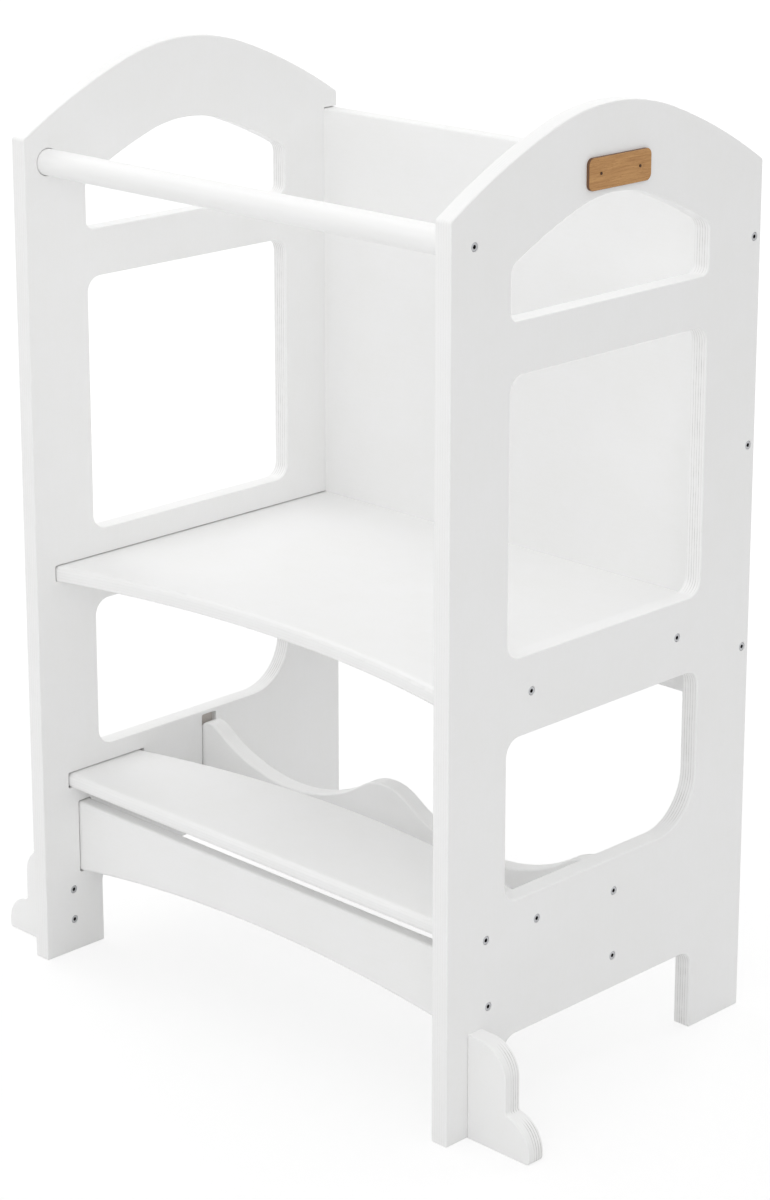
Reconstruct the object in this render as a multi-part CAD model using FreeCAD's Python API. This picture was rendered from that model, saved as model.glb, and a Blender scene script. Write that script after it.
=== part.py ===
import FreeCAD, Part
import math
import os

# Toddler's kitchen helper stool: two shaped plywood sides, housed cross boards, a round grab bar
# and two stabiliser feet. Millimetres, +Z up, +Y towards the back, +X to the right as seen from
# the front. The origin is on the floor, under the middle of the sides.

# --- stock -----------------------------------------------------------------------------------
SIDE_THICKNESS = 18.0
BOARD_THICKNESS = 15.0        # platform, step and apron
RAIL_THICKNESS = 18.0         # wave rail
BACK_THICKNESS = 18.0
FOOT_THICKNESS = 18.0
BAR_DIAMETER = 25.0

# --- round-over along the edges of each piece, softer where a child climbs -------------------------
SIDE_EDGE_ROUND = 1.2
PLATFORM_EDGE_ROUND = 5.0     # upper front edge
PLATFORM_UNDER_ROUND = 2.0    # lower front edge
STEP_EDGE_ROUND = 5.5
APRON_EDGE_ROUND = 3.0
RAIL_EDGE_ROUND = 2.0
BACK_EDGE_ROUND = 2.0
FOOT_EDGE_ROUND = 1.2

# --- overall plan ----------------------------------------------------------------------------
DEPTH = 400.0
CLEAR_WIDTH = 520.0           # between the sides
STILE_WIDTH = 72.0            # front and rear stile of a side, beside its openings

# --- heights, stacked from the floor up ----------------------------------------------------------
CUTOUT_HEIGHT = 78.1          # gap between the front and the rear leg
STEP_TOP = 186.0
LOWER_SILL_ABOVE_STEP = 18.5
PLATFORM_TOP = 399.0
RAIL_UNDER_PLATFORM = 30.2    # side left under the platform, down to the lower opening
SILL_ABOVE_PLATFORM = 26.0
WINDOW_HEIGHT = 248.0
RAIL_UNDER_HANDLE = 46.0
HANDLE_SILL_TO_SHOULDER = 94.0
ARCH_RISE = 75.0
ARCH_BAND = 77.5              # wood above the handle opening

# --- shape of the top arch and the openings --------------------------------------------------------
CROWN_RADIUS = 220.0
CROWN_HALF_SPAN = 75.0
SHOULDER_CORNER = 4.0
LEG_CORNER = 1.5              # toes and heels of the legs
HANDLE_LOWER_CORNER = 8.0
HANDLE_UPPER_CORNER = 12.0
WINDOW_CORNER = 15.0
LOWER_CORNER = 16.0
LOWER_REAR_CORNER = 50.0
CUTOUT_CORNER = 15.0

# --- housings cut in the inner faces of the sides --------------------------------------------------
HOUSING_DEPTH = 6.0
HOUSING_CORNER = 1.8          # left by the cutter, a little tighter than the boards' round-over
HOUSING_GAP = 1.1             # open line on the side of a board that shows
END_GAP = 0.3                 # between a board's end and the floor of its housing
NOSE_GAP = 1.2                # in front of the platform's and the step's front corners

# --- platform, step, apron, wave rail and back ---------------------------------------------------
PLATFORM_SETBACK = 24.0       # front corners of the platform behind the front of the sides
PLATFORM_SWEEP = 34.0         # how far its front edge curves in
STEP_SETBACK = 33.0
STEP_END_DEPTH = 95.0
STEP_BULGE = 35.5             # how far its rear edge curves out
APRON_SETBACK = 44.5
APRON_UNDER_STEP = 17.0       # open gap between step and apron
APRON_HEIGHT = 72.5           # at its ends
APRON_ARCH = 20.4
RAIL_SETBACK = 207.3
RAIL_ABOVE_CUTOUT = 5.9
RAIL_HOUSING_UNDER_SILL = 3.6
RAIL_CREST_UNDER_HOUSING = 3.5
RAIL_WAVE_HEIGHT = 39.6
RAIL_WAVE_LENGTH = 261.5      # from crest to crest
RAIL_WAVE_SHIFT = -3.7        # middle crest from the middle of the stool
RAIL_CREST_RADIUS = 53.5
RAIL_END_CORNER = 15.0        # upper corners, partly inside the housings
BACK_UNDER_PLATFORM = 82.0    # back panel carried on below the platform
BACK_UNDER_SHOULDER = 16.0

# --- grab bar --------------------------------------------------------------------------------------
BAR_SETBACK = 27.5            # its axis behind the front of the sides
BAR_UNDER_SHOULDER = 24.0
SOCKET_DEPTH = 8.0
SOCKET_GAP = 0.6
BAR_END_CHAMFER = 1.0

# --- stabiliser feet, outside the front legs ------------------------------------------------------
FOOT_SETBACK = 26.0
UPPER_LOBE_RADIUS = 30.5
UPPER_LOBE_FLAT = 14.4        # level top beside the leg
UPPER_LOBE_CENTRE = 67.2      # height of the lobe's centre
LOWER_LOBE_RADIUS = 29.5
LOWER_LOBE_OUT = 43.2         # lobe's centre from the side
LOWER_LOBE_CENTRE = 8.0
LOBE_NOTCH_RADIUS = 3.5
FOOT_TOE_CORNER = 4.0

# --- label plate on the right side ----------------------------------------------------------------
LABEL_WIDTH = 80.0
LABEL_HEIGHT = 28.0
LABEL_THICKNESS = 3.0
LABEL_CORNER = 6.0
LABEL_BEHIND_CENTRE = 3.0
LABEL_ABOVE_HANDLE = 5.0
LABEL_EDGE_ROUND = 0.6
PIN_SPACING = 50.0
PIN_DIAMETER = 1.6
PIN_HEAD_DIAMETER = 2.6
PIN_HEAD_HEIGHT = 0.5
PIN_DEPTH = 12.0              # below the plate

# --- screws: 5 x 50, countersunk, hexagon socket ---------------------------------------------------
SCREW_DIAMETER = 5.0
SCREW_LENGTH = 50.0
SCREW_POINT = 4.0
HEAD_DIAMETER = 8.0
HEAD_RIM = 0.8
HEAD_BEVEL_WIDTH = 0.6        # round the head's face
HEAD_BEVEL_DEPTH = 0.4
HEAD_CONE = 1.6
HEAD_SUNK = 0.2               # below the face of the side
SOCKET_ACROSS_FLATS = 3.5
SOCKET_SUNK = 2.0
SCREW_CLEARANCE = 0.1         # round the screw in the side
PILOT_BEYOND_POINT = 2.0

# --- screw places ---------------------------------------------------------------------------------
PLATFORM_SCREW_SPREAD = 194.0
STEP_SCREW_SETBACKS = (15.5, 80.5)        # behind the step's front edge
APRON_SCREW_UNDER_TOP = 38.5
RAIL_SCREWS_ABOVE_BOTTOM = (25.5, 88.5)
BACK_SCREW_SPACING = 192.0
BACK_LOWEST_SCREW = 58.0                  # above the back panel's lower edge
FOOT_SCREW_HEIGHTS = (33.0, 64.5)

# --- worked out from the sizes above --------------------------------------------------------------
FRONT = -DEPTH / 2
REAR = DEPTH / 2
INNER = CLEAR_WIDTH / 2                   # inner face of the right side
OUTER = INNER + SIDE_THICKNESS
BOARD_END = INNER + HOUSING_DEPTH - END_GAP

OPEN_HALF = DEPTH / 2 - STILE_WIDTH
LOWER_SILL = STEP_TOP + LOWER_SILL_ABOVE_STEP
PLATFORM_UNDER = PLATFORM_TOP - BOARD_THICKNESS
LOWER_HEAD = PLATFORM_UNDER - RAIL_UNDER_PLATFORM
WINDOW_SILL = PLATFORM_TOP + SILL_ABOVE_PLATFORM
WINDOW_HEAD = WINDOW_SILL + WINDOW_HEIGHT
HANDLE_SILL = WINDOW_HEAD + RAIL_UNDER_HANDLE
SHOULDER = HANDLE_SILL + HANDLE_SILL_TO_SHOULDER
CROWN = SHOULDER + ARCH_RISE

BACK_FACE = REAR - BACK_THICKNESS
BACK_BOTTOM = PLATFORM_UNDER - BACK_UNDER_PLATFORM
BACK_TOP = SHOULDER - BACK_UNDER_SHOULDER
PLATFORM_FRONT = FRONT + PLATFORM_SETBACK
STEP_FRONT = FRONT + STEP_SETBACK
STEP_END_REAR = STEP_FRONT + STEP_END_DEPTH
STEP_UNDER = STEP_TOP - BOARD_THICKNESS
APRON_FRONT = FRONT + APRON_SETBACK
APRON_TOP = STEP_UNDER - APRON_UNDER_STEP
APRON_BOTTOM = APRON_TOP - APRON_HEIGHT
RAIL_FRONT = FRONT + RAIL_SETBACK
RAIL_BOTTOM = CUTOUT_HEIGHT + RAIL_ABOVE_CUTOUT
RAIL_HOUSING_TOP = LOWER_SILL - RAIL_HOUSING_UNDER_SILL
RAIL_CREST = RAIL_HOUSING_TOP - RAIL_CREST_UNDER_HOUSING
BAR_Y = FRONT + BAR_SETBACK
BAR_Z = SHOULDER - BAR_UNDER_SHOULDER
FOOT_FRONT = FRONT + FOOT_SETBACK
FOOT_MIDDLE = FOOT_FRONT + FOOT_THICKNESS / 2
LABEL_Y = LABEL_BEHIND_CENTRE
LABEL_Z = CROWN - ARCH_BAND + LABEL_ABOVE_HANDLE + LABEL_HEIGHT / 2

# Places of the screws on a side, as (y, z).
BAR_SCREWS = [(BAR_Y, BAR_Z)]
BACK_SCREWS = [
    (BACK_FACE + BACK_THICKNESS / 2, BACK_BOTTOM + BACK_LOWEST_SCREW + i * BACK_SCREW_SPACING)
    for i in range(3)
]
PLATFORM_SCREWS = [
    (side * PLATFORM_SCREW_SPREAD / 2, PLATFORM_TOP - BOARD_THICKNESS / 2) for side in (-1, 1)
]
STEP_SCREWS = [(STEP_FRONT + back, STEP_TOP - BOARD_THICKNESS / 2) for back in STEP_SCREW_SETBACKS]
APRON_SCREWS = [(APRON_FRONT + BOARD_THICKNESS / 2, APRON_TOP - APRON_SCREW_UNDER_TOP)]
RAIL_SCREWS = [
    (RAIL_FRONT + RAIL_THICKNESS / 2, RAIL_BOTTOM + up) for up in RAIL_SCREWS_ABOVE_BOTTOM
]
FOOT_SCREWS = [(FOOT_MIDDLE, height) for height in FOOT_SCREW_HEIGHTS]

SAME = 1e-4                               # two lengths closer than this are equal
X_AXIS = FreeCAD.Vector(1, 0, 0)
Y_AXIS = FreeCAD.Vector(0, 1, 0)
Z_AXIS = FreeCAD.Vector(0, 0, 1)


# --- drawing helpers --------------------------------------------------------------------------
def in_side(y, z):
    """A point in the plane of a side panel."""
    return FreeCAD.Vector(0, y, z)


def in_front(x, z):
    """A point in an upright plane across the stool."""
    return FreeCAD.Vector(x, 0, z)


def line(start, end):
    return Part.LineSegment(start, end).toShape()


def lines(points):
    return [line(a, b) for a, b in zip(points, points[1:])]


def arc_about(centre, start, end):
    """The shorter arc round a centre."""
    half_way = (start - centre) + (end - centre)
    middle = centre + half_way * ((start - centre).Length / half_way.Length)
    return Part.Arc(start, middle, end).toShape()


def curved_edge(start, end, rise):
    """A board's long edge from end to end: curved by rise at mid-span, straight in the housings."""
    inward = (end - start).normalize() * (BOARD_END - INNER)
    first = start + inward
    last = end - inward
    middle = (start + end) * 0.5 + rise
    curve = Part.Arc(first, middle, last).toShape()
    return [line(start, first), curve, line(last, end)]


def plate(edges, direction):
    """A solid of the outline's edges, carried along direction."""
    return Part.Face(Part.Wire(edges)).extrude(direction)


def block(x, y, z):
    """A box between pairs of faces."""
    size = (x[1] - x[0], y[1] - y[0], z[1] - z[0])
    return Part.makeBox(*size, FreeCAD.Vector(x[0], y[0], z[0]))


def runs_at(edge, places):
    """True for an edge along X that passes through one of the (y, z) places."""
    box = edge.BoundBox
    if box.YLength > SAME or box.ZLength > SAME:
        return False
    return any(math.hypot(box.YMin - y, box.ZMin - z) < SAME for y, z in places)


def stands_at(edge, point):
    """True for an edge along Y that passes over a point (x, z)."""
    box = edge.BoundBox
    if box.XLength > SAME or box.ZLength > SAME:
        return False
    return math.hypot(box.XMin - point.x, box.ZMin - point.z) < SAME


def round_corners(solid, places, radius):
    """Rounds the edges that run along X through the (y, z) places."""
    return solid.makeFillet(radius, [e for e in solid.Edges if runs_at(e, places)])


def long_edges(solid):
    """The edges of a cross board that run from side to side."""
    return [e for e in solid.Edges if e.BoundBox.XLength > SAME and not on_end(e)]


def round_front_edge(board, height, radius):
    """Rounds over the front edge of a level board at one height."""
    front = [
        e for e in long_edges(board)
        if abs(e.BoundBox.ZMin - height) < SAME and abs(e.BoundBox.ZMax - height) < SAME
        and e.BoundBox.YMax < BACK_FACE - SAME
    ]
    return board.makeFillet(radius, front)


def on_end(edge):
    """True for an edge that lies on the end of a cross board."""
    box = edge.BoundBox
    return box.XMin > BOARD_END - SAME or box.XMax < -BOARD_END + SAME


def mirrored(shape):
    """The same piece for the left side."""
    return shape.mirror(FreeCAD.Vector(0, 0, 0), X_AXIS)


# --- the sides -----------------------------------------------------------------------------------
def arch_centres():
    """Centres and radii of the three-centred arch: a tight crown between two flatter flanks."""
    crown_centre = in_side(0, CROWN - CROWN_RADIUS)
    drop = CROWN_RADIUS - math.sqrt(CROWN_RADIUS ** 2 - CROWN_HALF_SPAN ** 2)
    joint = in_side(CROWN_HALF_SPAN, CROWN - drop)
    outward = (joint - crown_centre).normalize()
    to_joint = joint - in_side(REAR, SHOULDER)
    flank_radius = to_joint.dot(to_joint) / (2 * outward.dot(to_joint))
    flank_centre = joint - outward * flank_radius
    return crown_centre, flank_centre, flank_radius, outward


def arch_edges(half_span, inside):
    """The arch from rear to front, drawn a distance inside the top edge of the side."""
    crown_centre, flank_centre, flank_radius, outward = arch_centres()
    radius = flank_radius - inside
    along = half_span - flank_centre.y
    spring = in_side(half_span, flank_centre.z + math.sqrt(radius ** 2 - along ** 2))
    joint = flank_centre + outward * radius
    rear_flank = arc_about(flank_centre, spring, joint)
    front_spring = in_side(-spring.y, spring.z)
    front_joint = in_side(-joint.y, joint.z)
    crown = arc_about(crown_centre, joint, front_joint)
    front_flank = arc_about(in_side(-flank_centre.y, flank_centre.z), front_joint, front_spring)
    return [rear_flank, crown, front_flank], spring.z


def side_blank():
    """The outline of a side: arched top, two legs."""
    heel = REAR - STILE_WIDTH
    toe = FRONT + STILE_WIDTH
    arch, shoulder = arch_edges(REAR, 0.0)
    below = lines(
        [
            in_side(FRONT, shoulder),
            in_side(FRONT, 0),
            in_side(toe, 0),
            in_side(toe, CUTOUT_HEIGHT),
            in_side(heel, CUTOUT_HEIGHT),
            in_side(heel, 0),
            in_side(REAR, 0),
            in_side(REAR, shoulder),
        ]
    )
    solid = plate(below + arch, X_AXIS * SIDE_THICKNESS)
    solid = round_corners(solid, [(toe, CUTOUT_HEIGHT), (heel, CUTOUT_HEIGHT)], CUTOUT_CORNER)
    solid = round_corners(solid, [(FRONT, 0), (toe, 0), (heel, 0), (REAR, 0)], LEG_CORNER)
    return round_corners(solid, [(FRONT, shoulder), (REAR, shoulder)], SHOULDER_CORNER)


def handle_opening():
    """Hand hole: a level sill under an arch that follows the top of the side."""
    arch, spring = arch_edges(OPEN_HALF, ARCH_BAND)
    below = lines(
        [
            in_side(-OPEN_HALF, spring),
            in_side(-OPEN_HALF, HANDLE_SILL),
            in_side(OPEN_HALF, HANDLE_SILL),
            in_side(OPEN_HALF, spring),
        ]
    )
    solid = plate(below + arch, X_AXIS * SIDE_THICKNESS)
    sills = [(-OPEN_HALF, HANDLE_SILL), (OPEN_HALF, HANDLE_SILL)]
    springs = [(-OPEN_HALF, spring), (OPEN_HALF, spring)]
    solid = round_corners(solid, sills, HANDLE_LOWER_CORNER)
    return round_corners(solid, springs, HANDLE_UPPER_CORNER)


def window_opening():
    y = (-OPEN_HALF, OPEN_HALF)
    z = (WINDOW_SILL, WINDOW_HEAD)
    solid = block((0, SIDE_THICKNESS), y, z)
    return round_corners(solid, [(a, b) for a in y for b in z], WINDOW_CORNER)


def lower_opening():
    """Opening between step and platform, with one corner much rounder than the others."""
    y = (-OPEN_HALF, OPEN_HALF)
    z = (LOWER_SILL, LOWER_HEAD)
    rear_sill = (OPEN_HALF, LOWER_SILL)
    others = [(a, b) for a in y for b in z if (a, b) != rear_sill]
    solid = block((0, SIDE_THICKNESS), y, z)
    solid = round_corners(solid, others, LOWER_CORNER)
    return round_corners(solid, [rear_sill], LOWER_REAR_CORNER)


def housing(y, z):
    """A stopped housing with the rounded corners that a cutter leaves."""
    solid = block((0, HOUSING_DEPTH), y, z)
    return round_corners(solid, [(a, b) for a in y for b in z], HOUSING_CORNER)


def housings():
    """The five housings in the inner face of a side."""
    platform = housing(
        (PLATFORM_FRONT - NOSE_GAP, BACK_FACE + HOUSING_CORNER),
        (PLATFORM_UNDER, PLATFORM_TOP + HOUSING_GAP),
    )
    step = housing(
        (STEP_FRONT - NOSE_GAP, STEP_END_REAR + HOUSING_GAP),
        (STEP_UNDER, STEP_TOP + HOUSING_GAP),
    )
    apron = housing(
        (APRON_FRONT - HOUSING_GAP, APRON_FRONT + BOARD_THICKNESS),
        (APRON_BOTTOM - HOUSING_GAP, APRON_TOP + HOUSING_GAP),
    )
    rail = housing(
        (RAIL_FRONT - HOUSING_GAP, RAIL_FRONT + RAIL_THICKNESS),
        (RAIL_BOTTOM, RAIL_HOUSING_TOP),
    )
    back = housing((BACK_FACE, REAR + BACK_THICKNESS), (BACK_BOTTOM, BACK_TOP + HOUSING_GAP))
    return [platform, step, apron, rail, back]


def right_side():
    """The right side, with its round-over, openings, housings, bar socket and screw holes."""
    solid = side_blank()
    for opening in (handle_opening(), window_opening(), lower_opening()):
        solid = solid.cut(opening)
    faces = [e for e in solid.Edges if e.BoundBox.XLength < SAME]
    solid = solid.makeFillet(SIDE_EDGE_ROUND, faces)
    for cut in housings():
        solid = solid.cut(cut)
    socket = Part.makeCylinder(
        BAR_DIAMETER / 2 + SOCKET_GAP, SOCKET_DEPTH, in_side(BAR_Y, BAR_Z), X_AXIS
    )
    solid = solid.cut(socket)
    solid.translate(X_AXIS * INNER)
    for place in SIDE_SCREWS:
        solid = solid.cut(screw_hole(OUTER, -1, place))
    for place in FOOT_SCREWS:
        solid = solid.cut(screw_hole(INNER, 1, place))
    return solid


# --- cross boards ----------------------------------------------------------------------------------
def drilled(board, places):
    """The board with a pilot hole in each end for each screw place."""
    for place in places:
        pilot = pilot_hole(OUTER, -1, place)
        board = board.cut(pilot).cut(mirrored(pilot))
    return board


def platform():
    """Standing board: straight against the back panel, its front edge swept in."""
    front_left = FreeCAD.Vector(-BOARD_END, PLATFORM_FRONT, PLATFORM_UNDER)
    front_right = FreeCAD.Vector(BOARD_END, PLATFORM_FRONT, PLATFORM_UNDER)
    rear_right = FreeCAD.Vector(BOARD_END, BACK_FACE, PLATFORM_UNDER)
    rear_left = FreeCAD.Vector(-BOARD_END, BACK_FACE, PLATFORM_UNDER)
    sweep = curved_edge(front_left, front_right, Y_AXIS * PLATFORM_SWEEP)
    edges = sweep + lines([front_right, rear_right, rear_left, front_left])
    solid = plate(edges, Z_AXIS * BOARD_THICKNESS)
    solid = round_front_edge(solid, PLATFORM_TOP, PLATFORM_EDGE_ROUND)
    solid = round_front_edge(solid, PLATFORM_UNDER, PLATFORM_UNDER_ROUND)
    return drilled(solid, PLATFORM_SCREWS)


def step_board():
    """Step: straight front edge, rear edge bowed out."""
    front_left = FreeCAD.Vector(-BOARD_END, STEP_FRONT, STEP_UNDER)
    front_right = FreeCAD.Vector(BOARD_END, STEP_FRONT, STEP_UNDER)
    rear_right = FreeCAD.Vector(BOARD_END, STEP_END_REAR, STEP_UNDER)
    rear_left = FreeCAD.Vector(-BOARD_END, STEP_END_REAR, STEP_UNDER)
    bow = curved_edge(rear_right, rear_left, Y_AXIS * STEP_BULGE)
    edges = lines([rear_left, front_left, front_right, rear_right]) + bow
    solid = plate(edges, Z_AXIS * BOARD_THICKNESS)
    return drilled(solid.makeFillet(STEP_EDGE_ROUND, long_edges(solid)), STEP_SCREWS)


def front_apron():
    """Upright board under the step, arched along its lower edge."""
    low_left = in_front(-BOARD_END, APRON_BOTTOM)
    low_right = in_front(BOARD_END, APRON_BOTTOM)
    top_right = in_front(BOARD_END, APRON_TOP)
    top_left = in_front(-BOARD_END, APRON_TOP)
    arch = curved_edge(low_left, low_right, Z_AXIS * APRON_ARCH)
    edges = arch + lines([low_right, top_right, top_left, low_left])
    solid = plate(edges, Y_AXIS * BOARD_THICKNESS)
    solid.translate(Y_AXIS * APRON_FRONT)
    return drilled(solid.makeFillet(APRON_EDGE_ROUND, long_edges(solid)), APRON_SCREWS)


def wave_arcs():
    """Arcs of the wave, left to right, from past one end of the board to past the other.

    Each is its centre, its radius, which is negative for a valley, and where along X it stops.
    """
    half_length = RAIL_WAVE_LENGTH / 2
    lean = 2 * math.atan(RAIL_WAVE_HEIGHT / half_length)
    crest_half = RAIL_CREST_RADIUS * math.sin(lean)
    valley_radius = half_length / math.sin(lean) - RAIL_CREST_RADIUS
    crest_z = RAIL_CREST - RAIL_CREST_RADIUS
    valley_z = RAIL_CREST - RAIL_WAVE_HEIGHT + valley_radius
    each_way = math.ceil((BOARD_END + abs(RAIL_WAVE_SHIFT)) / RAIL_WAVE_LENGTH)
    arcs = []
    for i in range(-each_way, each_way + 1):
        crest = in_front(RAIL_WAVE_SHIFT + i * RAIL_WAVE_LENGTH, crest_z)
        valley = in_front(crest.x + half_length, valley_z)
        arcs.append((crest, RAIL_CREST_RADIUS, crest.x + crest_half))
        arcs.append((valley, -valley_radius, crest.x + RAIL_WAVE_LENGTH - crest_half))
    return arcs


def over(x, centre, radius):
    """The point of a wave's arc at x."""
    rise = math.sqrt(radius ** 2 - (x - centre.x) ** 2)
    return in_front(x, centre.z + math.copysign(rise, radius))


def end_corner(x, arcs):
    """Centre, at x, of the round of an end corner, and where that round meets the wave."""
    for centre, radius, stop in arcs:
        parallel = radius - RAIL_END_CORNER
        if x <= centre.x + (stop - centre.x) * parallel / radius:
            corner = over(x, centre, parallel)
            return corner, centre + (corner - centre) * (radius / parallel)


def wave_edges():
    """Top edge of the wave rail, from left to right, with its rounded end corners."""
    arcs = wave_arcs()
    left, start = end_corner(RAIL_END_CORNER - BOARD_END, arcs)
    right, last = end_corner(BOARD_END - RAIL_END_CORNER, arcs)
    left_end = in_front(-BOARD_END, left.z)
    right_end = in_front(BOARD_END, right.z)
    edges = [arc_about(left, left_end, start)]
    for centre, radius, stop_x in arcs:
        stop_x = min(stop_x, last.x)
        if stop_x - start.x > SAME:
            stop = over(stop_x, centre, radius)
            edges.append(arc_about(centre, start, stop))
            start = stop
    edges.append(arc_about(right, start, right_end))
    return edges, left_end, right_end


def wave_rail():
    """Upright rail behind the step, with a wave along its top edge."""
    wave, left_end, right_end = wave_edges()
    low_right = in_front(BOARD_END, RAIL_BOTTOM)
    low_left = in_front(-BOARD_END, RAIL_BOTTOM)
    below = lines([right_end, low_right, low_left, left_end])
    solid = plate(wave + below, Y_AXIS * RAIL_THICKNESS)
    outline = [
        e for e in solid.Edges
        if e.BoundBox.YLength < SAME and e.BoundBox.XLength > SAME
    ]
    solid = solid.makeFillet(RAIL_EDGE_ROUND, outline)
    solid.translate(Y_AXIS * RAIL_FRONT)
    return drilled(solid, RAIL_SCREWS)


def back_panel():
    """Back: housed in the sides, flush with their rear edges, the platform butted against it."""
    solid = block((-BOARD_END, BOARD_END), (BACK_FACE, REAR), (BACK_BOTTOM, BACK_TOP))
    return drilled(solid.makeFillet(BACK_EDGE_ROUND, long_edges(solid)), BACK_SCREWS)


def grab_bar():
    """Round bar across the front, with its ends in blind sockets."""
    reach = INNER + SOCKET_DEPTH - END_GAP
    start = FreeCAD.Vector(-reach, BAR_Y, BAR_Z)
    solid = Part.makeCylinder(BAR_DIAMETER / 2, 2 * reach, start, X_AXIS)
    rims = [e for e in solid.Edges if e.BoundBox.XLength < SAME]
    solid = solid.makeChamfer(BAR_END_CHAMFER, rims)
    return drilled(solid, BAR_SCREWS)


# --- stabiliser feet -------------------------------------------------------------------------------
def right_foot():
    """Foot across the outside of the right front leg: two lobes over a level sole."""
    top = UPPER_LOBE_CENTRE + UPPER_LOBE_RADIUS
    upper_centre = in_front(UPPER_LOBE_FLAT, UPPER_LOBE_CENTRE)
    waist = UPPER_LOBE_FLAT + UPPER_LOBE_RADIUS
    toe = LOWER_LOBE_OUT + LOWER_LOBE_RADIUS
    lower_centre = in_front(LOWER_LOBE_OUT, LOWER_LOBE_CENTRE)
    rise = math.sqrt(LOWER_LOBE_RADIUS ** 2 - (waist - LOWER_LOBE_OUT) ** 2)
    notch = in_front(waist, LOWER_LOBE_CENTRE + rise)
    brow = in_front(UPPER_LOBE_FLAT, top)
    cheek = in_front(waist, UPPER_LOBE_CENTRE)
    tip = in_front(toe, LOWER_LOBE_CENTRE)
    sole = lines([tip, in_front(toe, 0), in_front(0, 0), in_front(0, top), brow])
    edges = sole + [
        arc_about(upper_centre, brow, cheek),
        line(cheek, notch),
        arc_about(lower_centre, notch, tip),
    ]
    solid = plate(edges, Y_AXIS * FOOT_THICKNESS)
    inner_corner = [e for e in solid.Edges if stands_at(e, notch)]
    solid = solid.makeFillet(LOBE_NOTCH_RADIUS, inner_corner)
    toe_corner = [e for e in solid.Edges if stands_at(e, in_front(toe, 0))]
    solid = solid.makeFillet(FOOT_TOE_CORNER, toe_corner)
    outline = [e for e in solid.Edges if e.BoundBox.YLength < SAME]
    solid = solid.makeFillet(FOOT_EDGE_ROUND, outline)
    solid.translate(FreeCAD.Vector(OUTER, FOOT_FRONT, 0))
    for place in FOOT_SCREWS:
        solid = solid.cut(pilot_hole(INNER, 1, place))
    return solid


# --- fasteners -------------------------------------------------------------------------------------
def along_screw(depths_and_radii):
    """A solid of revolution about X: each pair is a depth from the head's face and a radius."""
    points = [FreeCAD.Vector(depth, radius, 0) for depth, radius in depths_and_radii]
    outline = [FreeCAD.Vector(points[0].x, 0, 0)] + points + [FreeCAD.Vector(points[-1].x, 0, 0)]
    corners = [p for i, p in enumerate(outline) if i == 0 or (p - outline[i - 1]).Length > SAME]
    face = Part.Face(Part.Wire(lines(corners + [corners[0]])))
    return face.revolve(FreeCAD.Vector(0, 0, 0), X_AXIS, 360)


def placed(shape, face, way, place):
    """A shape drawn from X = 0 inwards, set on a face and turned to point along +X or -X."""
    made = shape if way > 0 else mirrored(shape)
    made.translate(FreeCAD.Vector(face, place[0], place[1]))
    return made


def screw(face, way, place):
    """One countersunk screw, its head just below the face it is driven through."""
    head = HEAD_DIAMETER / 2
    core = SCREW_DIAMETER / 2
    under_head = HEAD_SUNK + HEAD_RIM + HEAD_CONE
    tip = HEAD_SUNK + SCREW_LENGTH
    profile = [
        (HEAD_SUNK, head - HEAD_BEVEL_WIDTH),
        (HEAD_SUNK + HEAD_BEVEL_DEPTH, head),
        (HEAD_SUNK + HEAD_RIM, head),
        (under_head, core),
        (tip - SCREW_POINT, core),
        (tip, 0.0),
    ]
    across_corners = SOCKET_ACROSS_FLATS / math.cos(math.pi / 6)
    corners = [
        FreeCAD.Vector(
            HEAD_SUNK,
            across_corners / 2 * math.cos(i * math.pi / 3),
            across_corners / 2 * math.sin(i * math.pi / 3),
        )
        for i in range(7)
    ]
    socket = plate(lines(corners), X_AXIS * SOCKET_SUNK)
    return placed(along_screw(profile).cut(socket), face, way, place)


def screw_hole(face, way, place):
    """Clearance hole and countersink through a side."""
    head = HEAD_DIAMETER / 2 + SCREW_CLEARANCE
    core = SCREW_DIAMETER / 2 + SCREW_CLEARANCE
    rim = HEAD_SUNK + HEAD_RIM
    profile = [(0.0, head), (rim, head), (rim + HEAD_CONE, core), (SIDE_THICKNESS, core)]
    return placed(along_screw(profile), face, way, place)


def pilot_hole(face, way, place):
    """Hole for the screw's core in the piece that it holds."""
    core = SCREW_DIAMETER / 2
    deep = HEAD_SUNK + SCREW_LENGTH + PILOT_BEYOND_POINT
    return placed(along_screw([(0.0, core), (deep, core)]), face, way, place)


def screws(face, way, places):
    """The screws of one joint, as separate solids of one node."""
    return Part.makeCompound([screw(face, way, place) for place in places])


# --- label plate ----------------------------------------------------------------------------------
def label_plate():
    """Bare wooden plate on the outside of the right side, above the hand hole."""
    y = (LABEL_Y - LABEL_WIDTH / 2, LABEL_Y + LABEL_WIDTH / 2)
    z = (LABEL_Z - LABEL_HEIGHT / 2, LABEL_Z + LABEL_HEIGHT / 2)
    solid = block((OUTER, OUTER + LABEL_THICKNESS), y, z)
    solid = round_corners(solid, [(a, b) for a in y for b in z], LABEL_CORNER)
    face = [e for e in solid.Edges if e.BoundBox.XMin > OUTER + LABEL_THICKNESS - SAME]
    solid = solid.makeFillet(LABEL_EDGE_ROUND, face)
    for place in pin_places():
        solid = solid.cut(pin_hole(place))
    return solid


def pin_places():
    return [(LABEL_Y + side * PIN_SPACING / 2, LABEL_Z) for side in (-1, 1)]


def pin_hole(place):
    """Hole for a pin, through the plate and into the side."""
    start = FreeCAD.Vector(OUTER - PIN_DEPTH, place[0], place[1])
    return Part.makeCylinder(PIN_DIAMETER / 2, PIN_DEPTH + LABEL_THICKNESS, start, X_AXIS)


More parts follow.
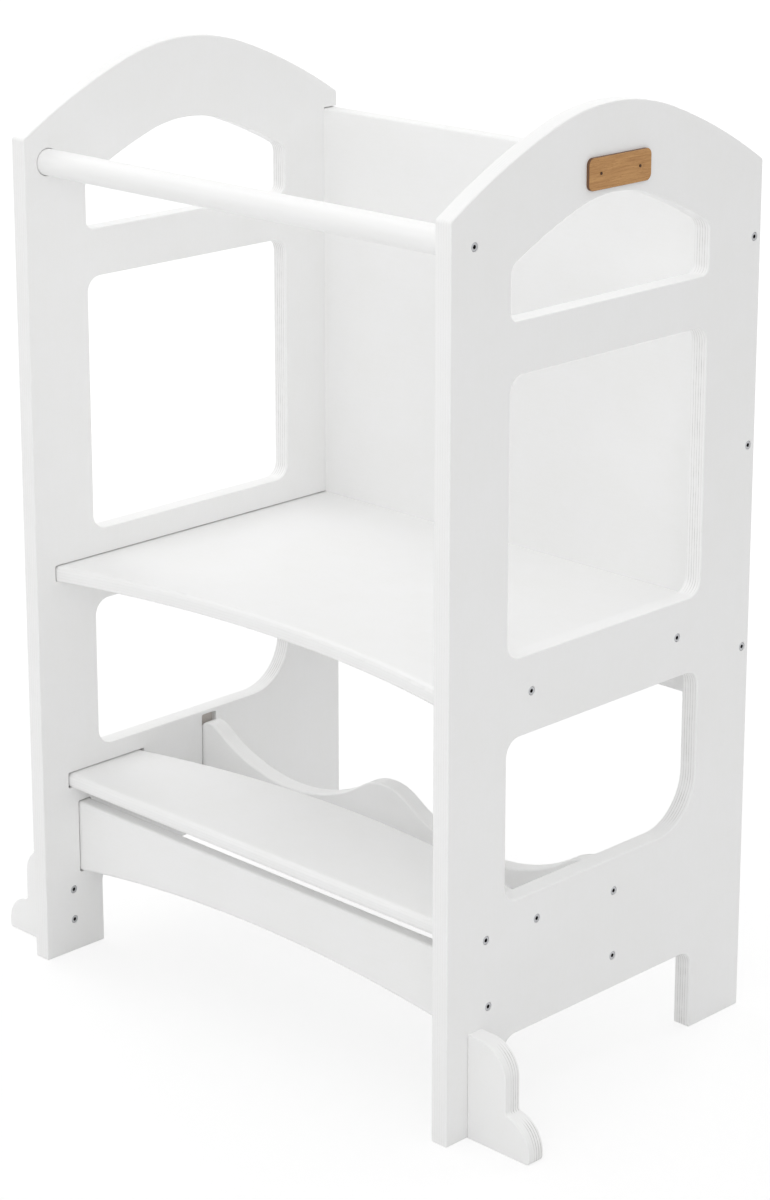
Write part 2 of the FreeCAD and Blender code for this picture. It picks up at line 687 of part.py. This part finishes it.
def label_pins():
    """Two small pins that hold the plate, their heads just proud of it."""
    pins = []
    for place in pin_places():
        seat = FreeCAD.Vector(OUTER + LABEL_THICKNESS, place[0], place[1])
        head = Part.makeCylinder(PIN_HEAD_DIAMETER / 2, PIN_HEAD_HEIGHT, seat, X_AXIS)
        pins.append(pin_hole(place).fuse(head).removeSplitter())
    return Part.makeCompound(pins)


# --- the whole stool --------------------------------------------------------------------------------
SIDE_SCREWS = BAR_SCREWS + BACK_SCREWS + PLATFORM_SCREWS + STEP_SCREWS + APRON_SCREWS + RAIL_SCREWS
SCREW_NODES = {
    "bar_screw": BAR_SCREWS,
    "back_panel_screws": BACK_SCREWS,
    "platform_screws": PLATFORM_SCREWS,
    "step_screws": STEP_SCREWS,
    "apron_screw": APRON_SCREWS,
    "wave_rail_screws": RAIL_SCREWS,
}


def build():
    """Every piece by its node's name."""
    side = right_side()
    foot = right_foot()
    pieces = {
        "side_panel_left": mirrored(side),
        "side_panel_right": side,
        "stabiliser_foot_left": mirrored(foot),
        "stabiliser_foot_right": foot,
        "platform": platform(),
        "step_board": step_board(),
        "front_apron": front_apron(),
        "wave_rail": wave_rail(),
        "back_panel": back_panel(),
        "grab_bar": grab_bar(),
        "label_plate": label_plate(),
        "label_pins": label_pins(),
    }
    for place in pin_places():
        pieces["side_panel_right"] = pieces["side_panel_right"].cut(pin_hole(place))
    for name, places in SCREW_NODES.items():
        pieces[name + "_right"] = screws(OUTER, -1, places)
        pieces[name + "_left"] = mirrored(pieces[name + "_right"])
    pieces["foot_screws_right"] = screws(INNER, 1, FOOT_SCREWS)
    pieces["foot_screws_left"] = mirrored(pieces["foot_screws_right"])
    return pieces


os.makedirs("parts", exist_ok=True)
for name, shape in build().items():
    shape.exportStep("parts/" + name + ".step")
    print(name, len(shape.Solids), round(shape.Volume, 1), shape.isValid())
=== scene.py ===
import bmesh
import bpy
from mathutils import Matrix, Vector

# A white-painted birch plywood helper stool for the kitchen. Metres, +Z up, front towards -Y.

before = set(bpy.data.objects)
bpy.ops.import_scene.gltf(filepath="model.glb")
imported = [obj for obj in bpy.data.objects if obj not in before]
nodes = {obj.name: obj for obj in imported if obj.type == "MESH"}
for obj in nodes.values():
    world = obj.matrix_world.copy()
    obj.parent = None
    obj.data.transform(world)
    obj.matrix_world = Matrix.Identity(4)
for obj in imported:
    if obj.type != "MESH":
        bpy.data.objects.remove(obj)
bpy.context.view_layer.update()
MM = 0.001
X, Y, Z = 0, 1, 2

# Settings of the nodes that are used most.
MULTIPLY = {"operation": "MULTIPLY"}
MULTIPLY_ADD = {"operation": "MULTIPLY_ADD"}
ABSOLUTE = {"operation": "ABSOLUTE"}
COLOURS = {"data_type": "RGBA"}
SMOOTH = {"interpolation_type": "SMOOTHSTEP"}


# --- small helpers ------------------------------------------------------------------------------
def linear(hex_code):
    """A colour written as sRGB hex, turned to the linear values that shaders take."""
    channels = [int(hex_code[i:i + 2], 16) / 255 for i in (1, 3, 5)]
    return [c / 12.92 if c <= 0.04045 else ((c + 0.055) / 1.055) ** 2.4 for c in channels] + [1.0]


def add_node(tree, kind, settings=None, **sockets):
    """Adds a node: settings are its properties; a socket takes a value or another socket."""
    node = tree.nodes.new("ShaderNode" + kind)
    for name, value in (settings or {}).items():
        setattr(node, name, value)
    for name, value in sockets.items():
        key = int(name[1:]) if name[1:].isdigit() else name.replace("_", " ")
        socket = node.inputs[key]
        if isinstance(value, bpy.types.NodeSocket):
            tree.links.new(value, socket)
        else:
            socket.default_value = value
    return node


def new_material(name):
    """A node material with nothing in it: the material, its tree and its Object coordinates."""
    material = bpy.data.materials.new(name)
    material.use_nodes = True
    tree = material.node_tree
    tree.nodes.clear()
    return material, tree, add_node(tree, "TexCoord").outputs["Object"]


def finish_material(tree, colour, roughness, relief, **sockets):
    """A Principled surface with a colour, a roughness and a relief in metres."""
    bump = add_node(tree, "Bump", Strength=1.0, Distance=1.0, Height=relief).outputs[0]
    shader = add_node(tree, "BsdfPrincipled", Base_Color=colour, Roughness=roughness, Normal=bump,
                      **sockets)
    add_node(tree, "OutputMaterial", Surface=shader.outputs[0])


def turned_to(tree, axis):
    """How far the surface faces along an axis, either way: 1 on a face, 0 on a cut edge."""
    normal = add_node(tree, "TexCoord").outputs["Normal"]
    along = add_node(tree, "SeparateXYZ", Vector=normal).outputs[axis]
    return add_node(tree, "Math", ABSOLUTE, s0=along).outputs[0]


def stretched(tree, place, grain, across_scale, along_scale, shift):
    """Coordinates drawn out along the grain, for fibres."""
    scale = [across_scale] * 3
    scale[grain] = along_scale
    return add_node(tree, "Mapping", Vector=place, Location=(shift, shift * 0.7, shift * 1.3),
                    Scale=scale).outputs[0]


def span(name, axis):
    """Where a piece starts and ends along an axis; along X, how far from the middle."""
    node = nodes[name]
    places = [(node.matrix_world @ Vector(corner))[axis] for corner in node.bound_box]
    if axis == X:
        places = [abs(place) for place in places]
    return min(places), max(places)


def dress(name, material):
    """Gives a carried-over piece its material."""
    data = nodes[name].data
    data.materials.clear()
    data.materials.append(material)


# --- painted plywood ----------------------------------------------------------------------------
PAINT = "#F8F8F8"            # the film as it lies on the faces
PAINT_WARM = "#F6F6F5"       # where it is a little thinner over the wood
PAINT_SUNK = "#BDBBB8"       # where end grain has drunk it
RAW_WOOD = "#D8D2CD"         # floors of the housings, cut after painting
PAINT_IOR = 1.47
PLY_PITCH = 2.8 * MM         # a face-grain and a cross-grain veneer of 1.4 mm each
PLY_FIRST = 0.5 * MM         # the first pitch starts this far into the board
PLY_WANDER = 1.1 * MM        # how far the lines between the veneers wander
PLY_CLEAR = 4 * MM           # the lines read fully this far from where they read most
PLY_FAINT = 9 * MM           # and faintly from here on
VENEER_SINK = 0.12 * MM      # how deep the thirsty veneers sink
FILM_RELIEF = 0.014 * MM     # peel and raised grain together
HOUSING_DEPTH = 6 * MM
FILLED_BEYOND = 140 * MM     # from the middle of the depth: the sides' outer edges
FILLED_BLEND = 8 * MM

# Noise scales are features per metre: 45 is one in 22 mm.
WANDER_SCALE = 45.0
STRETCH_SCALE = 70.0         # stretches of an edge that drank more
PEEL_SCALE = 380.0           # the roller's orange peel
CLOUD_SCALE = 16.0           # broad clouds of thicker and thinner film
FIBRE_ACROSS, FIBRE_ALONG = 900.0, 36.0


def edge_strength(tree, split, depth, cut, most, shows, side):
    """How strongly the veneers read: on cut edges only, most at one depth in the board."""
    edge = add_node(tree, "MapRange", SMOOTH, Value=turned_to(tree, cut),
                    From_Min=0.3, From_Max=0.75, To_Min=0.0, To_Max=shows).outputs[0]
    away = add_node(tree, "Math", {"operation": "SUBTRACT"}, s0=depth, s1=most).outputs[0]
    away = add_node(tree, "Math", ABSOLUTE, s0=away).outputs[0]
    inner = add_node(tree, "MapRange", Value=away, From_Min=PLY_CLEAR, From_Max=PLY_FAINT,
                     To_Min=1.0, To_Max=0.1).outputs[0]
    edge = add_node(tree, "Math", MULTIPLY, s0=edge, s1=inner).outputs[0]
    if side:
        beyond = add_node(tree, "Math", ABSOLUTE, s0=split.outputs[Y]).outputs[0]
        filled = add_node(tree, "MapRange", Value=beyond, From_Min=FILLED_BEYOND,
                          From_Max=FILLED_BEYOND + FILLED_BLEND, To_Min=1.0, To_Max=0.2).outputs[0]
        edge = add_node(tree, "Math", MULTIPLY, s0=edge, s1=filled).outputs[0]
    return edge


def sunk_veneers(tree, place, depth, start, edge):
    """Lines through the thickness that wander a little, stronger in some stretches."""
    wander = add_node(tree, "TexNoise", Vector=place, Scale=WANDER_SCALE,
                      Detail=3.0).outputs["Fac"]
    wander = add_node(tree, "Math", MULTIPLY_ADD, s0=wander, s1=PLY_WANDER,
                      s2=depth).outputs[0]
    turns = add_node(tree, "MapRange", {"clamp": False}, Value=wander, From_Min=start + PLY_FIRST,
                     From_Max=start + PLY_FIRST + PLY_PITCH).outputs[0]
    lines = add_node(tree, "Math", {"operation": "PINGPONG"}, s0=turns, s1=0.5).outputs[0]
    lines = add_node(tree, "MapRange", SMOOTH, Value=lines,
                     From_Min=0.28, From_Max=0.48).outputs[0]
    stretch = add_node(tree, "TexNoise", Vector=place, Scale=STRETCH_SCALE, Detail=4.0,
                       Roughness=0.7).outputs["Fac"]
    stretch = add_node(tree, "MapRange", Value=stretch, From_Min=0.38, From_Max=0.66, To_Min=0.35,
                       To_Max=1.0).outputs[0]
    sunk = add_node(tree, "Math", MULTIPLY, s0=lines, s1=stretch).outputs[0]
    return add_node(tree, "Math", MULTIPLY, s0=sunk, s1=edge).outputs[0]


def paint_film(tree, place, grain, shift):
    """Raised fibres under the roller's peel, and the same with broad clouds of film."""
    drawn = stretched(tree, place, grain, FIBRE_ACROSS, FIBRE_ALONG, shift)
    fibre = add_node(tree, "TexNoise", Vector=drawn, Scale=1.0, Detail=5.0,
                     Roughness=0.65).outputs["Fac"]
    peel = add_node(tree, "TexNoise", Vector=place, Scale=PEEL_SCALE, Detail=3.0).outputs["Fac"]
    cloud = add_node(tree, "TexNoise", Vector=place, Scale=CLOUD_SCALE, Detail=4.0,
                     Roughness=0.6).outputs["Fac"]
    film = add_node(tree, "Math", MULTIPLY_ADD, s0=peel, s1=0.8, s2=fibre).outputs[0]
    patchy = add_node(tree, "Math", MULTIPLY_ADD, s0=cloud, s1=1.4, s2=film).outputs[0]
    return film, patchy


def painted_ply(name, across, grain, cut, deepest, shows, shift, side=False):
    """Birch plywood under a satin water-based paint, rolled on and sanded back.

    Its faces give the eye a soft, even white, broken only by a fine orange peel and a breath of
    raised grain. On the cut edges the veneers still read as thin grey lines, because the
    cross-grain ones drink the paint and sink, and the arrises are sanded thin and a little warm.
    across is the axis the veneers are stacked on, grain the axis the outer veneer runs along,
    cut the axis that an edge faces where its veneers read, deepest how far into the thickness
    they read most, and shows how strongly. A side's front and rear edges were filled and show
    less of them, and the floors of its housings are raw wood.
    """
    material, tree, place = new_material(name + "_paint")
    start, end = span(name, across)
    facing = turned_to(tree, across)
    split = add_node(tree, "SeparateXYZ", Vector=place)
    depth = split.outputs[across]
    if across == X:
        depth = add_node(tree, "Math", ABSOLUTE, s0=depth).outputs[0]
    most = start + (end - start) * deepest
    edge = edge_strength(tree, split, depth, cut, most, shows, side)
    sunk = sunk_veneers(tree, place, depth, start, edge)
    film, patchy = paint_film(tree, place, grain, shift)

    # Arrises: sanded thin where the face turns into the edge.
    warm = add_node(tree, "MapRange", Value=patchy, From_Min=1.25, From_Max=1.95).outputs[0]
    arris = add_node(tree, "Math", {"operation": "PINGPONG"}, s0=facing, s1=0.5).outputs[0]
    arris = add_node(tree, "MapRange", Value=arris, From_Min=0.3, From_Max=0.5,
                     To_Max=0.6).outputs[0]
    warm = add_node(tree, "Math", {"operation": "ADD", "use_clamp": True}, s0=warm,
                    s1=arris).outputs[0]

    colour = add_node(tree, "Mix", COLOURS, s0=warm, s6=linear(PAINT),
                      s7=linear(PAINT_WARM)).outputs[2]
    colour = add_node(tree, "Mix", COLOURS, s0=sunk, s6=colour,
                      s7=linear(PAINT_SUNK)).outputs[2]
    if side:
        raw = add_node(tree, "Math", {"operation": "COMPARE"}, s0=depth, s1=start + HOUSING_DEPTH,
                       s2=0.5 * MM).outputs[0]
        flat = add_node(tree, "Math", {"operation": "GREATER_THAN"}, s0=facing, s1=0.95).outputs[0]
        raw = add_node(tree, "Math", MULTIPLY, s0=raw, s1=flat).outputs[0]
        colour = add_node(tree, "Mix", COLOURS, s0=raw, s6=colour,
                          s7=linear(RAW_WOOD)).outputs[2]

    rough = add_node(tree, "MapRange", Value=patchy, From_Min=1.2, From_Max=2.0, To_Min=0.40,
                     To_Max=0.52).outputs[0]
    rough = add_node(tree, "Math", MULTIPLY_ADD, s0=sunk, s1=0.2, s2=rough).outputs[0]
    relief = add_node(tree, "Math", MULTIPLY, s0=film, s1=FILM_RELIEF).outputs[0]
    relief = add_node(tree, "Math", MULTIPLY_ADD, s0=sunk, s1=-VENEER_SINK,
                      s2=relief).outputs[0]
    finish_material(tree, colour, rough, relief, IOR=PAINT_IOR)
    dress(name, material)


# Board: the axis its veneers are stacked on, the grain, the axis its edges face where the veneers
# read, how far into the thickness they read most, and how much.
BOARDS = {
    "stabiliser_foot_left": (Y, Z, X, 0.75, 1.0),
    "stabiliser_foot_right": (Y, Z, X, 0.75, 1.0),
    "back_panel": (Y, X, Z, 0.5, 0.3),
    "wave_rail": (Y, X, Z, 0.5, 0.05),
    "front_apron": (Y, X, Z, 0.5, 0.1),
    "platform": (Z, X, Y, 0.5, 0.08),
    "step_board": (Z, X, Y, 0.5, 0.08),
}
SIDE = (X, Z, Y, 0.5, 0.7)
for shift, (name, board) in enumerate(BOARDS.items()):
    painted_ply(name, *board, shift)
for shift, name in enumerate(("side_panel_left", "side_panel_right")):
    painted_ply(name, *SIDE, shift + 0.5, side=True)


# --- grab bar -----------------------------------------------------------------------------------
PORE_ACROSS, PORE_ALONG = 1400.0, 90.0       # features per metre
FLAT_ACROSS, FLAT_ALONG = 150.0, 9.0
BAR_RELIEF = 0.02 * MM


def painted_beech(name):
    """Turned beech under the same paint.

    It gives the eye a smoother, slightly glossier white than the boards, with fine pores drawn
    out along the bar and the faint waviness that sanding round a dowel leaves.
    """
    material, tree, place = new_material(name)
    drawn = stretched(tree, place, X, PORE_ACROSS, PORE_ALONG, 0.0)
    pores = add_node(tree, "TexNoise", Vector=drawn, Scale=1.0, Detail=4.0,
                     Roughness=0.7).outputs["Fac"]
    waved = stretched(tree, place, X, FLAT_ACROSS, FLAT_ALONG, 2.0)
    flats = add_node(tree, "TexNoise", Vector=waved, Scale=1.0, Detail=2.0).outputs["Fac"]
    film = add_node(tree, "Math", MULTIPLY_ADD, s0=flats, s1=1.5, s2=pores).outputs[0]
    warm = add_node(tree, "MapRange", Value=film, From_Min=0.9, From_Max=1.6).outputs[0]
    colour = add_node(tree, "Mix", COLOURS, s0=warm, s6=linear(PAINT),
                      s7=linear(PAINT_WARM)).outputs[2]
    rough = add_node(tree, "MapRange", Value=film, From_Min=0.9, From_Max=1.6, To_Min=0.34,
                     To_Max=0.44).outputs[0]
    relief = add_node(tree, "Math", MULTIPLY, s0=film, s1=BAR_RELIEF).outputs[0]
    finish_material(tree, colour, rough, relief, IOR=PAINT_IOR)
    return material


dress("grab_bar", painted_beech("grab_bar_paint"))


# --- screws -------------------------------------------------------------------------------------
ZINC = "#E0E1E3"
ZINC_DULL = "#B4B5B8"
# Painted shade: the near-black colour given to the socket and to all that lies deeper than the
# head's face, in place of the shade that falls in the recess. The two depths below say where this
# painted shade starts and where it is full.
SOCKET_SHADE_COLOUR = "#1B1A19"
SHADE_FROM, SHADE_FULL = 0.2, 0.5      # mm below the head's face
MOTTLE_SCALE = 900.0                 # features per metre
TURNING_SCALE = 2600.0
TURNING_RELIEF = 0.02 * MM


def zinc_screws(name):
    """Zinc-plated steel, its head a dull silver with fine turning marks.

    The hexagon socket, and whatever lies deeper than the head's face, is painted nearly black as
    shade, and that dark dot in a grey ring is what the eye catches on the white sides. The heads
    of the feet's screws look towards the middle of the stool, the others away from it.
    """
    material, tree, place = new_material(name + "_zinc")
    near, far = span(name, X)
    face, inner = (near, near + MM) if name.startswith("foot") else (far, far - MM)
    along = add_node(tree, "SeparateXYZ", Vector=place).outputs[X]
    along = add_node(tree, "Math", ABSOLUTE, s0=along).outputs[0]
    depth = add_node(tree, "MapRange", {"clamp": False}, Value=along, From_Min=face,
                     From_Max=inner).outputs[0]
    mottle = add_node(tree, "TexNoise", Vector=place, Scale=MOTTLE_SCALE, Detail=4.0,
                      Roughness=0.7).outputs["Fac"]
    marks = add_node(tree, "TexNoise", Vector=place, Scale=TURNING_SCALE,
                     Detail=2.0).outputs["Fac"]
    plate = add_node(tree, "Mix", COLOURS, s0=mottle, s6=linear(ZINC),
                     s7=linear(ZINC_DULL)).outputs[2]
    # Painted shade: from 0.2 mm to 0.5 mm below the head's face the colour turns nearly black,
    # standing in for the shade in the socket.
    socket_shade = add_node(tree, "MapRange", Value=depth, From_Min=SHADE_FROM,
                     From_Max=SHADE_FULL).outputs[0]
    colour = add_node(tree, "Mix", COLOURS, s0=socket_shade, s6=plate,
                      s7=linear(SOCKET_SHADE_COLOUR)).outputs[2]
    # Only the head outside the painted socket shade stays metal.
    unshaded = add_node(tree, "Math", {"operation": "SUBTRACT"}, s0=1.0, s1=socket_shade).outputs[0]
    rough = add_node(tree, "MapRange", Value=mottle, To_Min=0.3, To_Max=0.5).outputs[0]
    relief = add_node(tree, "Math", MULTIPLY, s0=marks, s1=TURNING_RELIEF).outputs[0]
    finish_material(tree, colour, rough, relief, Metallic=unshaded)
    dress(name, material)


for name in nodes:
    if "screw" in name:
        zinc_screws(name)


# --- label plate --------------------------------------------------------------------------------
OAK_LIGHT = "#CF9E62"
OAK_DARK = "#A97744"
OAK_BURNT = "#6E4C32"
OAK_SWAY = 4.0 * MM                  # how far its fibres bend off the straight
SWAY_SCALE = 30.0                    # features per metre
OAK_ACROSS, OAK_ALONG = 620.0, 28.0
OAK_PORE_ACROSS, OAK_PORE_ALONG = 2400.0, 190.0
OAK_RELIEF = 0.04 * MM
BRONZE = "#3A2414"
BRONZE_WORN = "#54361F"
WEAR_SCALE = 1500.0
WEAR_RELIEF = 0.02 * MM


def oiled_oak(name):
    """Oiled oak, quarter cut, its grain along the plate.

    It is the stool's one warm note: straight golden fibres with short dark pores, and a rim that
    the laser has browned.
    """
    material, tree, place = new_material(name)
    bend = add_node(tree, "TexNoise", Vector=place, Scale=SWAY_SCALE, Detail=2.0).outputs["Fac"]
    up = add_node(tree, "Math", MULTIPLY, s0=bend, s1=OAK_SWAY).outputs[0]
    sway = add_node(tree, "CombineXYZ", Z=up).outputs[0]
    bent = add_node(tree, "VectorMath", {"operation": "ADD"}, s0=place, s1=sway).outputs[0]
    drawn = stretched(tree, bent, Y, OAK_ACROSS, OAK_ALONG, 0.4)
    fibres = add_node(tree, "TexNoise", Vector=drawn, Scale=1.0, Detail=6.0,
                      Roughness=0.7).outputs["Fac"]
    drawn = stretched(tree, place, Y, OAK_PORE_ACROSS, OAK_PORE_ALONG, 1.0)
    pores = add_node(tree, "TexNoise", Vector=drawn, Scale=1.0, Detail=1.0).outputs["Fac"]
    pores = add_node(tree, "MapRange", Value=pores, From_Min=0.60, From_Max=0.70).outputs[0]
    tone = add_node(tree, "MapRange", Value=fibres, From_Min=0.3, From_Max=0.7).outputs[0]
    tone = add_node(tree, "Math", {"operation": "MULTIPLY_ADD", "use_clamp": True}, s0=pores,
                    s1=0.5, s2=tone).outputs[0]
    colour = add_node(tree, "Mix", COLOURS, s0=tone, s6=linear(OAK_LIGHT),
                      s7=linear(OAK_DARK)).outputs[2]
    rim = add_node(tree, "MapRange", Value=turned_to(tree, X), From_Min=0.95,
                   From_Max=0.5).outputs[0]
    colour = add_node(tree, "Mix", COLOURS, s0=rim, s6=colour,
                      s7=linear(OAK_BURNT)).outputs[2]
    rough = add_node(tree, "MapRange", Value=tone, To_Min=0.45, To_Max=0.6).outputs[0]
    relief = add_node(tree, "Math", MULTIPLY, s0=tone, s1=-OAK_RELIEF).outputs[0]
    finish_material(tree, colour, rough, relief)
    return material


def browned_bronze(name):
    """Browned bronze pins: two small dark dots, patched at random with lighter worn bronze."""
    material, tree, place = new_material(name)
    worn = add_node(tree, "TexNoise", Vector=place, Scale=WEAR_SCALE, Detail=3.0).outputs["Fac"]
    colour = add_node(tree, "Mix", COLOURS, s0=worn, s6=linear(BRONZE),
                      s7=linear(BRONZE_WORN)).outputs[2]
    relief = add_node(tree, "Math", MULTIPLY, s0=worn, s1=WEAR_RELIEF).outputs[0]
    finish_material(tree, colour, 0.5, relief, Metallic=0.4)
    return material


dress("label_plate", oiled_oak("oiled_oak"))
dress("label_pins", browned_bronze("browned_bronze"))


# --- studio -------------------------------------------------------------------------------------
WHITE = "#FFFFFF"
SKY_LEVEL = 0.526            # even light from all round
SKY_TOP = 0.266              # more of it from overhead
BACKDROP = 1.0               # what the camera and reflections see instead
FLOOR_WHITE = "#EEEEEE"
FLOOR_RADIUS = 9.0
FLOOR_LIFT = 0.66            # share of the floor's look that is plain white: its shadow stays pale
FLOOR_GLOW = 1.10            # that white's level, which brings the open floor up to the backdrop
FLOOR_NEAR, FLOOR_FAR = 0.8, 2.4     # the share grows to the whole between these distances
# Soft boxes: name, place, aim, width and height, watts.
LAMPS = (
    ("overhead", (0.3, -0.6, 3.0), (0.0, 0.0, 0.4), (2.4, 2.4), 3.8),
    ("front_left", (-2.2, -2.6, 1.7), (0.0, 0.0, 0.4), (1.8, 2.0), 5.1),
    ("front_right", (2.3, -2.6, 1.9), (0.0, 0.0, 0.4), (1.8, 2.0), 15.1),
    ("left", (-3.2, 0.3, 1.6), (0.0, 0.0, 0.4), (1.8, 2.0), 17.0),
    ("behind", (0.0, 2.8, 2.4), (0.0, 0.0, 0.4), (2.4, 1.6), 22.0),
    ("high_front", (0.2, -2.6, 2.9), (0.0, 0.0, 0.5), (2.0, 2.0), 10.1),
    ("high_left", (-2.4, -0.3, 2.9), (0.0, 0.0, 0.5), (2.0, 2.0), 12.0),
)


def floor():
    """A pale floor. To the camera it is part plain white, so that it fades into the backdrop."""
    mesh = bpy.data.meshes.new("floor")
    ground = bpy.data.objects.new("floor", mesh)
    bpy.context.scene.collection.objects.link(ground)
    shape = bmesh.new()
    bmesh.ops.create_circle(shape, cap_ends=True, segments=64, radius=FLOOR_RADIUS)
    shape.to_mesh(mesh)
    shape.free()
    material, tree, place = new_material("floor_white")
    matt = add_node(tree, "BsdfDiffuse", Color=linear(FLOOR_WHITE))
    plain = add_node(tree, "Emission", Color=linear(WHITE), Strength=FLOOR_GLOW)
    away = add_node(tree, "VectorMath", {"operation": "LENGTH"}, s0=place).outputs["Value"]
    share = add_node(tree, "MapRange", SMOOTH, Value=away,
                     From_Min=FLOOR_NEAR, From_Max=FLOOR_FAR, To_Min=FLOOR_LIFT).outputs[0]
    seen = add_node(tree, "LightPath").outputs["Is Camera Ray"]
    share = add_node(tree, "Math", MULTIPLY, s0=seen, s1=share).outputs[0]
    mixed = add_node(tree, "MixShader", Fac=share, s1=matt.outputs[0], s2=plain.outputs[0])
    add_node(tree, "OutputMaterial", Surface=mixed.outputs[0])
    mesh.materials.append(material)


def sky():
    """Even studio light, and a white backdrop to the camera and in reflections."""
    world = bpy.data.worlds.new("studio")
    bpy.context.scene.world = world
    world.use_nodes = True
    tree = world.node_tree
    tree.nodes.clear()
    path = add_node(tree, "LightPath")
    seen = path.outputs["Is Camera Ray"]
    for ray in ("Is Glossy Ray", "Is Transmission Ray"):
        seen = add_node(tree, "Math", {"operation": "MAXIMUM"}, s0=seen,
                        s1=path.outputs[ray]).outputs[0]
    around = add_node(tree, "TexCoord").outputs["Generated"]
    up = add_node(tree, "SeparateXYZ", Vector=around).outputs[Z]
    level = add_node(tree, "MapRange", Value=up, To_Min=SKY_LEVEL,
                     To_Max=SKY_LEVEL + SKY_TOP).outputs[0]
    strength = add_node(tree, "MapRange", Value=seen, To_Min=level, To_Max=BACKDROP).outputs[0]
    light = add_node(tree, "Background", Color=linear(WHITE), Strength=strength)
    add_node(tree, "OutputWorld", Surface=light.outputs[0])


def soft_box(name, place, aim, size, watts):
    """A rectangular lamp that faces its aim."""
    data = bpy.data.lights.new(name, "AREA")
    data.shape = "RECTANGLE"
    data.size, data.size_y = size
    data.energy = watts
    lamp = bpy.data.objects.new(name, data)
    lamp.location = place
    lamp.rotation_euler = (Vector(aim) - Vector(place)).to_track_quat("-Z", "Y").to_euler()
    bpy.context.scene.collection.objects.link(lamp)


floor()
sky()
for box in LAMPS:
    soft_box(*box)

CAMERA_AT = (1.9578, -1.9725, 1.3092)
CAMERA_LOOKS = (-0.6798, 0.6870, -0.2568)
FOCAL_LENGTH = 93.8          # mm, on a sensor 36 mm wide
CAMERA_SHIFT = -0.16         # the photograph's own camera is held nearly level

lens = bpy.data.cameras.new("camera")
lens.sensor_width = 36.0
lens.lens = FOCAL_LENGTH
lens.shift_y = CAMERA_SHIFT
camera = bpy.data.objects.new("camera", lens)
camera.location = CAMERA_AT
camera.rotation_euler = Vector(CAMERA_LOOKS).to_track_quat("-Z", "Y").to_euler()
bpy.context.scene.collection.objects.link(camera)
bpy.context.scene.camera = camera
bpy.context.scene.view_settings.view_transform = "Standard"
